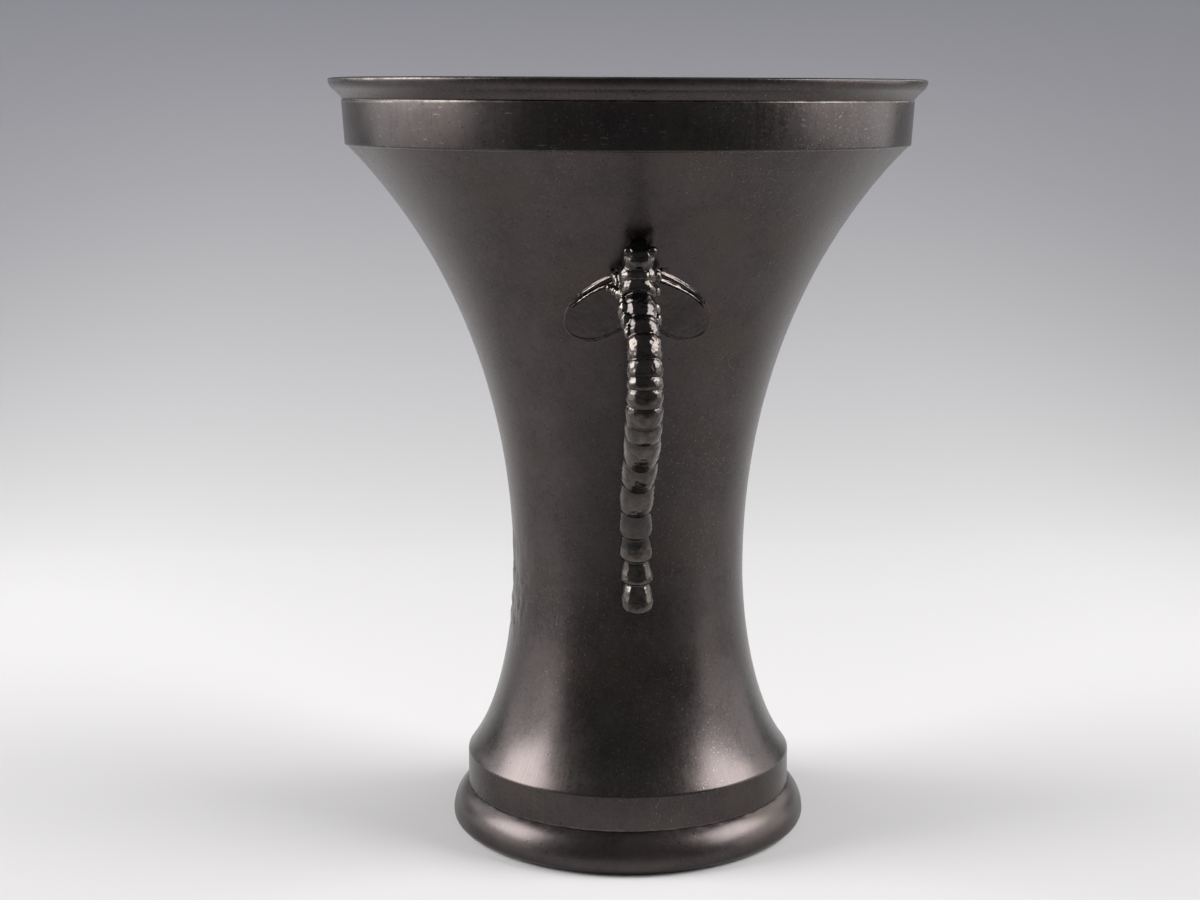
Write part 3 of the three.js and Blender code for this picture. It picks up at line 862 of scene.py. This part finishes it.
def aroundVase(tree, turns, rise):
    # stretches marks round the vase: direction from the axis times turns, height times rise
    parts = splitPlace(tree)
    flat = addNode(tree, "ShaderNodeCombineXYZ", {"X": parts["X"], "Y": parts["Y"]})
    lift = addNode(tree, "ShaderNodeCombineXYZ", {"Z": multiply(tree, parts["Z"], rise)})
    spread = vectorNode(tree, "SCALE", vectorNode(tree, "NORMALIZE", flat.outputs[0], (0, 0, 0)), turns)
    return vectorNode(tree, "ADD", spread, lift.outputs[0])


def socketKind(value):
    if not isinstance(value, tuple):
        return "NodeSocketFloat"
    return "NodeSocketColor" if len(value) == 4 else "NodeSocketVector"


def newGroup(name, inputs, outputs):
    # inputs come with a first value, outputs are numbers apart from the one called Color
    tree = bpy.data.node_groups.new(name, "ShaderNodeTree")
    for label, value in inputs.items():
        socket = tree.interface.new_socket(name=label, in_out="INPUT", socket_type=socketKind(value))
        socket.default_value = value
    for label in outputs:
        kind = "NodeSocketColor" if label == "Color" else "NodeSocketFloat"
        tree.interface.new_socket(name=label, in_out="OUTPUT", socket_type=kind)
    return tree, addNode(tree, "NodeGroupInput").outputs, addNode(tree, "NodeGroupOutput").inputs


def placeGroup(tree, group, **values):
    return addNode(tree, "ShaderNodeGroup", values, node_tree=group).outputs


def makePatinaTones():
    # brown tones, cloudy with a sandy grain, and a stain that comes in patches
    tree, given, result = newGroup("patinaTones", {
        "Dark": (0.04, 0.034, 0.032, 1),
        "Light": (0.06, 0.05, 0.046, 1),
        "Stain": (0.06, 0.055, 0.046, 1),
        "Scale": 60,
    }, ["Color", "Cloud"])
    place = objectPlace(tree)
    broad = multiply(tree, noiseValue(tree, place, given["Scale"], 5, 0.62), 0.5)
    fine = multiply(tree, noiseValue(tree, place, multiply(tree, given["Scale"], 7), 4, 0.6), 0.2)
    sand = multiply(tree, noiseValue(tree, place, multiply(tree, given["Scale"], 20), 2, 0.6), 0.3)
    cloud = mapRange(tree, mathNode(tree, "ADD", mathNode(tree, "ADD", broad, fine), sand), 0.38, 0.62)
    tone = mixColor(tree, cloud, given["Dark"], given["Light"])
    broader = multiply(tree, given["Scale"], 0.55)
    stain = mapRange(tree, noiseValue(tree, place, broader, 3, 0.5), 0.52, 0.7, 0, 0.7)
    feed(tree, result["Color"], mixColor(tree, stain, tone, given["Stain"]))
    feed(tree, result["Cloud"], cloud)
    return tree


def makeCastGrain():
    # dark pits, and pale specks that come in patches
    tree, given, result = newGroup("castGrain", {
        "Scale": 900, "Amount": 0.5, "Patch": 0,
    }, ["Specks", "Pits", "Height"])
    place = objectPlace(tree)
    wobble = noiseValue(tree, place, multiply(tree, given["Scale"], 0.7), 3, 0.6)
    cells = cellNode(tree, place, given["Scale"])
    away = mathNode(tree, "ADD", cells["Distance"], multiply(tree, wobble, 0.3))
    dots = mapRange(tree, away, 0.25, 0.46, 1, 0)
    amount = mathNode(tree, "ADD", given["Amount"], multiply(tree, given["Patch"], 0.3))
    low = mathNode(tree, "SUBTRACT", 0.86, amount)
    patches = mapRange(tree, noiseValue(tree, place, 70, 4, 0.65), low, mathNode(tree, "ADD", low, 0.2))
    picked = mapRange(tree, cells["Color"], 0.5, 0.8)
    specks = multiply(tree, dots, patches, picked)
    pitCells = cellNode(tree, place, multiply(tree, given["Scale"], 0.62))
    pitted = mapRange(tree, pitCells["Color"], 0.74, 0.86)
    pits = multiply(tree, mapRange(tree, pitCells["Distance"], 0.12, 0.26, 1, 0), pitted)
    grain = noiseValue(tree, place, multiply(tree, given["Scale"], 1.3), 3, 0.6)
    rough = mathNode(tree, "ADD", specks, multiply(tree, grain, 0.5))
    feed(tree, result["Specks"], specks)
    feed(tree, result["Pits"], pits)
    feed(tree, result["Height"], mathNode(tree, "SUBTRACT", rough, pits))
    return tree


def makeDashMarks():
    # short level scratches and dents round the band
    tree, given, result = newGroup("dashMarks", {"Low": 0.2, "High": 0.24}, ["Marks"])
    shake = addNode(tree, "ShaderNodeTexNoise", {"Vector": objectPlace(tree), "Scale": 240})
    shaken = vectorNode(tree, "SCALE", shake.outputs["Color"], 1.6)
    cells = cellNode(tree, vectorNode(tree, "ADD", aroundVase(tree, 22, 1100), shaken), 1)
    dash = mapRange(tree, cells["Distance"], 0.08, 0.3, 1, 0)
    picked = mapRange(tree, cells["Color"], 0.6, 0.85)
    level = splitPlace(tree)["Z"]
    margin = 2 * mm
    above = mapRange(tree, level, given["Low"], mathNode(tree, "ADD", given["Low"], margin))
    below = mapRange(tree, level, mathNode(tree, "SUBTRACT", given["High"], margin), given["High"], 1, 0)
    feed(tree, result["Marks"], multiply(tree, dash, picked, multiply(tree, above, below)))
    return tree


def makePolishLines():
    # fine lines left by polishing along the vase
    tree, given, result = newGroup("polishLines", {"Count": 90}, ["Lines"])
    feed(tree, result["Lines"], noiseValue(tree, aroundVase(tree, given["Count"], 60), 1, 3, 0.7))
    return tree


def makeRubbedEdgeAndHighlight():
    # an edge rubbed bare at one height, broken up along its length; its pale bronze is partly wear and partly
    # a painted highlight
    tree, given, result = newGroup("rubbedEdgeAndHighlight", {
        "Height": 0.2, "Width": 0.001, "Strength": 0.5,
    }, ["Bare"])
    away = mathNode(tree, "ABSOLUTE", mathNode(tree, "SUBTRACT", splitPlace(tree)["Z"], given["Height"]))
    near = mapRange(tree, mathNode(tree, "DIVIDE", away, given["Width"]), 0.4, 1, 1, 0)
    broken = mapRange(tree, noiseValue(tree, objectPlace(tree), 160, 4, 0.65), 0.4, 0.6, 0.15, 1)
    feed(tree, result["Bare"], multiply(tree, near, broken, given["Strength"]))
    return tree


def makeRubbedCrestAndHighlight():
    # crests rubbed by hands and brightened as a painted highlight, from the values kept on the points
    tree, given, result = newGroup("rubbedCrestAndHighlight", {"Strength": 0.5}, ["Bare"])
    kept = addNode(tree, "ShaderNodeAttribute", attribute_name="rubbedAndHighlight").outputs["Fac"]
    broken = mapRange(tree, noiseValue(tree, objectPlace(tree), 420, 4, 0.65), 0.4, 0.62, 0.2, 1)
    feed(tree, result["Bare"], multiply(tree, kept, broken, given["Strength"]))
    return tree


def makeNearSpot():
    # 1 close to a spot on the vase, fading out with distance
    tree, given, result = newGroup("nearSpot", {"Spot": (0, 0, 0), "Reach": 0.02}, ["Near"])
    away = vectorNode(tree, "DISTANCE", objectPlace(tree), given["Spot"])
    share = mathNode(tree, "DIVIDE", away, given["Reach"])
    feed(tree, result["Near"], mapRange(tree, share, 0.35, 1, 1, 0))
    return tree


patinaTones = makePatinaTones()
castGrain = makeCastGrain()
dashMarks = makeDashMarks()
polishLines = makePolishLines()
rubbedEdgeAndHighlight = makeRubbedEdgeAndHighlight()
rubbedCrestAndHighlight = makeRubbedCrestAndHighlight()
nearSpot = makeNearSpot()
print("node groups built")


def newMaterial(name):
    material = bpy.data.materials.new(name)
    material.use_nodes = True
    tree = material.node_tree
    return material, tree, tree.nodes["Principled BSDF"]


def bumpNode(tree, height, strength, distance):
    inputs = {"Height": height, "Strength": strength, "Distance": distance}
    return addNode(tree, "ShaderNodeBump", inputs).outputs["Normal"]


# bare: pale rubbed bronze, laid on edges and crests as wear and as a painted highlight
marks = {
    "bare": (0.3, 0.27, 0.225, 1), "speck": (0.19, 0.172, 0.16, 1), "pit": (0.012, 0.01, 0.01, 1),
    "pitShare": 0.8, "dashShare": 0.8, "lineHeight": 0.35, "bumpDepth": 0.03,
    "cloudRough": 0.04, "lineRough": 0.03,  # how far clouds and lines change the roughness
}


def makeBronze(name, finish):
    material, tree, surface = newMaterial(name)
    tones = {"Dark": finish["dark"], "Light": finish["light"], "Stain": finish["stain"]}
    patina = placeGroup(tree, patinaTones, Scale=finish["cloud"], **tones)
    patch = 0
    for spot, reach in finish.get("patches", []):
        near = placeGroup(tree, nearSpot, Spot=Vector(spot) * mm, Reach=reach * mm)["Near"]
        patch = mathNode(tree, "MAXIMUM", near, patch)
    grain = placeGroup(tree, castGrain, Scale=finish["grain"], Amount=finish["specks"], Patch=patch)
    lines = placeGroup(tree, polishLines, Count=finish["lines"])["Lines"]
    color = mixColor(tree, grain["Specks"], patina["Color"], marks["speck"])
    color = mixColor(tree, multiply(tree, grain["Pits"], marks["pitShare"]), color, marks["pit"])
    height = mathNode(tree, "ADD", grain["Height"], multiply(tree, lines, marks["lineHeight"]))
    for low, high in finish.get("dashes", []):
        dashes = placeGroup(tree, dashMarks, Low=low * mm, High=high * mm)["Marks"]
        color = mixColor(tree, multiply(tree, dashes, marks["dashShare"]), color, marks["speck"])
        height = mathNode(tree, "SUBTRACT", height, dashes)
    # rubbed edges and crests: pale bare bronze, partly wear and partly a painted highlight
    for level, width, strength in finish.get("edges", []):
        bare = placeGroup(tree, rubbedEdgeAndHighlight, Height=level * mm, Width=width * mm, Strength=strength)["Bare"]
        color = mixColor(tree, bare, color, marks["bare"])
    if "crest" in finish:
        bare = placeGroup(tree, rubbedCrestAndHighlight, Strength=finish["crest"])["Bare"]
        color = mixColor(tree, bare, color, marks["bare"])
    feed(tree, surface.inputs["Base Color"], color)
    swing = marks["cloudRough"]
    cloudy = mapRange(tree, patina["Cloud"], 0, 1, finish["rough"] - swing, finish["rough"] + swing)
    lined = mapRange(tree, lines, 0.3, 0.7, -marks["lineRough"], marks["lineRough"])
    feed(tree, surface.inputs["Roughness"], mathNode(tree, "ADD", cloudy, lined))
    feed(tree, surface.inputs["Normal"], bumpNode(tree, height, finish["bump"], marks["bumpDepth"] * mm))
    surface.inputs["Metallic"].default_value = finish["metal"]
    return material


castTones = {
    "dark": (0.05, 0.0425, 0.0422, 1), "light": (0.075, 0.0635, 0.0625, 1), "stain": (0.068, 0.056, 0.049, 1),
    "cloud": 60, "lines": 110, "bump": 0.35, "metal": 0.95,
}
bodyBronze = makeBronze("bodyBronze", {
    **castTones, "grain": 1300, "specks": 0.38, "rough": 0.29,
    # rubbed edges, pale bronze that is partly wear and partly a painted highlight: level, width, strength
    "edges": [
        (bandTop + 0.15, 0.35, 0.5),
        (bodyShape["height"] - 0.1, 0.4, 0.6),
        (bodyShape["collarFoot"] + 0.2, 0.5, 0.16),
    ],
    "dashes": [(bandFoot, bandTop)],
    # patches with more specks: place on the vase, reach
    "patches": [
        ((-37, 0, 80), 30), ((30, -35, 120), 45), ((-12, -40, 70), 30), ((10, -48, 45), 34),
        ((-16, -86, 226), 14), ((30, -80, 224), 26), ((64, -58, 224), 46),
    ],
})
footBronze = makeBronze("footBronze", {
    **castTones, "grain": 1100, "specks": 0.34, "rough": 0.32,
})
handleBronze = makeBronze("handleBronze", {
    "dark": (0.034, 0.03, 0.03, 1), "light": (0.06, 0.052, 0.05, 1), "stain": (0.062, 0.046, 0.042, 1),
    "cloud": 160, "grain": 1400, "specks": 0.3, "lines": 60, "rough": 0.16, "bump": 0.5, "metal": 0.95,
    # crest: pale bronze on the handle crests, rubbed wear and a painted highlight
    "crest": 0.24,
})
innerBronze = makeBronze("innerBronze", {
    "dark": (0.035, 0.031, 0.028, 1), "light": (0.075, 0.063, 0.053, 1), "stain": (0.07, 0.068, 0.055, 1),
    "cloud": 45, "grain": 700, "specks": 0.4, "lines": 50, "rough": 0.56, "bump": 0.6, "metal": 0.75,
})
solderGrey = makeBronze("solderGrey", {
    "dark": (0.16, 0.16, 0.155, 1), "light": (0.28, 0.28, 0.27, 1), "stain": (0.2, 0.19, 0.165, 1),
    "cloud": 220, "grain": 900, "specks": 0.3, "lines": 40, "rough": 0.48, "bump": 0.6, "metal": 0.85,
})


def dress(piece, *materials):
    piece.data.materials.clear()
    for material in materials:
        piece.data.materials.append(material)


def isInside(face):
    # the bore, and the faces that look down in the collar
    outward = face.normal.x * face.center.x + face.normal.y * face.center.y
    radius = math.hypot(face.center.x, face.center.y) / mm
    if outward < 0 and face.center.z / mm < bodyShape["height"] - bodyShape["innerDepth"]:
        return True
    return face.normal.z < -0.9 and radius < bodyShape["collarRadius"] - bodyShape["innerEdge"]


dress(body, bodyBronze, innerBronze)
for face in body.data.polygons:
    face.material_index = 1 if isInside(face) else 0
dress(foot, footBronze)
dress(plate, innerBronze)
dress(solder, solderGrey)
for piece in (handle, backHandle, *wings.values(), *backWings.values()):
    dress(piece, handleBronze)
for piece in (*rivets.values(), *backRivets.values()):
    dress(piece, innerBronze)
print("materials made")


# what each piece stands for

standsFor = [
    (body, "vase_body", "body_bronze"),
    (foot, "foot_ring", "body_bronze"),
    (plate, "base_plate", "plain_bronze"),
    (solder, "base_solder_ring", "solder"),
    (handle, "front_handle", "handle_bronze"),
    (backHandle, "back_handle", "handle_bronze"),
]
for end, wingSet, rivetSet in (("front", wings, rivets), ("back", backWings, backRivets)):
    for side, wing in wingSet.items():
        standsFor.append((wing, f"{end}_{side.lower()}_wing", "handle_bronze"))
    for level, rivet in rivetSet.items():
        standsFor.append((rivet, f"{end}_{level.lower()}_rivet", "plain_bronze"))
for piece, node, slot in standsFor:
    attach(piece, "root")
    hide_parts(node)


# floor and backdrop, one sweep

stageShape = {
    "width": 2, "front": -2.5, "bend": 0.4, "bendRadius": 1.2, "top": 2.6, "bendSteps": 32,
    "paper": (0.617, 0.607, 0.605, 1), "roughness": 0.9, "gloss": 0.2,
    # painted shade: the backdrop darkens with height, the floor out to the sides and towards the camera
    "high": (0.236, 0.236, 0.263, 1), "paintedShadeRise": (0, 0.34), "paintedShadeRiseCurve": 0.5,
    "paintedShadeAside": (0.42, 0.416, 0.415, 1), "paintedShadeAsideFade": (0.22, 0.62),
    "paintedShadeAhead": (0.13, 0.13, 0.135, 1), "paintedShadeAheadFade": (-0.03, -0.46),
}


def makeSweep(shape):
    deselectAll()
    bpy.ops.mesh.primitive_plane_add(size=1)
    sweep = named("floorSweep")
    sweep.scale = (shape["width"], shape["bend"] - shape["front"], 1)
    sweep.location = (0, (shape["bend"] + shape["front"]) / 2, 0)
    applyPlace(sweep)
    editMode(sweep)
    selectPoints(sweep, lambda co: co.y > shape["bend"] - mm)
    here = Vector((0, shape["bend"], 0))
    for step in range(1, shape["bendSteps"] + 1):
        angle = math.pi / 2 * step / shape["bendSteps"]
        turn = shape["bendRadius"]
        there = Vector((0, shape["bend"] + turn * math.sin(angle), turn * (1 - math.cos(angle))))
        bpy.ops.mesh.extrude_region_move(TRANSFORM_OT_translate={"value": there - here})
        here = there
    bpy.ops.mesh.extrude_region_move(TRANSFORM_OT_translate={"value": (0, 0, shape["top"] - here.z)})
    objectMode()
    smooth(sweep, 60)
    return sweep


def makePaper(shape):
    # pale floor with painted shade: darker up the backdrop, towards the camera and out to the sides
    material, tree, surface = newMaterial("sweepPaper")
    parts = splitPlace(tree)
    rise = mathNode(tree, "POWER", mapRange(tree, parts["Z"], *shape["paintedShadeRise"]), shape["paintedShadeRiseCurve"])
    paintedShadeAhead = mapRange(tree, parts["Y"], *shape["paintedShadeAheadFade"], soft=True)
    paintedShadeAside = mapRange(tree, mathNode(tree, "ABSOLUTE", parts["X"]), *shape["paintedShadeAsideFade"], soft=True)
    floor = mixColor(tree, paintedShadeAside, shape["paper"], shape["paintedShadeAside"])
    back = mixColor(tree, rise, floor, shape["high"])
    feed(tree, surface.inputs["Base Color"], mixColor(tree, paintedShadeAhead, back, shape["paintedShadeAhead"]))
    surface.inputs["Roughness"].default_value = shape["roughness"]
    surface.inputs["Specular IOR Level"].default_value = shape["gloss"]
    return material


sweep = makeSweep(stageShape)
dress(sweep, makePaper(stageShape))
print("sweep placed")


# camera and lights

cameraShape = {
    "distance": 0.6265, "height": 0.2328, "azimuth": -3.2, "pitch": 9.97,
    "lens": 59.01, "sensor": 36, "shift": -0.0233,
}


def makeCamera(shape):
    azimuth = math.radians(shape["azimuth"])
    data = bpy.data.cameras.new("camera")
    data.lens = shape["lens"]
    data.sensor_width = shape["sensor"]
    data.shift_x = shape["shift"]
    camera = bpy.data.objects.new("camera", data)
    away = shape["distance"]
    camera.location = (away * math.sin(azimuth), -away * math.cos(azimuth), shape["height"])
    camera.rotation_euler = (math.radians(90 - shape["pitch"]), 0, azimuth)
    bpy.context.scene.collection.objects.link(camera)
    bpy.context.scene.camera = camera


lightShape = {
    "reach": 1, "softboxReach": 0.98,
    "panel": {"middle": 0.05, "width": 1.05, "foot": 0, "top": 1.1, "power": 6.8},
    "rearPanel": {"middle": 0.86, "width": 0.5, "foot": 0.32, "top": 1.1, "power": 2.8},
    "leftSoftbox": {"middle": -0.02, "width": 0.66, "foot": 0.31, "top": 1, "power": 14.5},
    "rightSoftbox": {"middle": -0.22, "width": 0.8, "foot": 0.41, "top": 1.22, "power": 19},
    "room": (0.18, 0.18, 0.185, 1),
}


def makePanel(name, across, shape):
    # an upright rectangle of light beside the vase
    data = bpy.data.lights.new(name, "AREA")
    data.shape = "RECTANGLE"
    data.size = shape["width"]
    data.size_y = shape["top"] - shape["foot"]
    data.energy = shape["power"]
    light = bpy.data.objects.new(name, data)
    light.location = (across, shape["middle"], (shape["top"] + shape["foot"]) / 2)
    light.rotation_euler = Vector((-across, 0, 0)).to_track_quat("-Z", "Y").to_euler()
    light.visible_camera = False
    bpy.context.scene.collection.objects.link(light)


makeCamera(cameraShape)
for word, side in (("left", -1), ("right", 1)):
    makePanel(f"{word}Panel", side * lightShape["reach"], lightShape["panel"])
    makePanel(f"{word}RearPanel", side * lightShape["reach"], lightShape["rearPanel"])
    makePanel(f"{word}Softbox", side * lightShape["softboxReach"], lightShape[f"{word}Softbox"])

world = bpy.data.worlds.new("room")
bpy.context.scene.world = world
world.use_nodes = True
world.node_tree.nodes["Background"].inputs["Color"].default_value = lightShape["room"]

bpy.context.scene.view_settings.view_transform = "Standard"
print("camera and lights set")
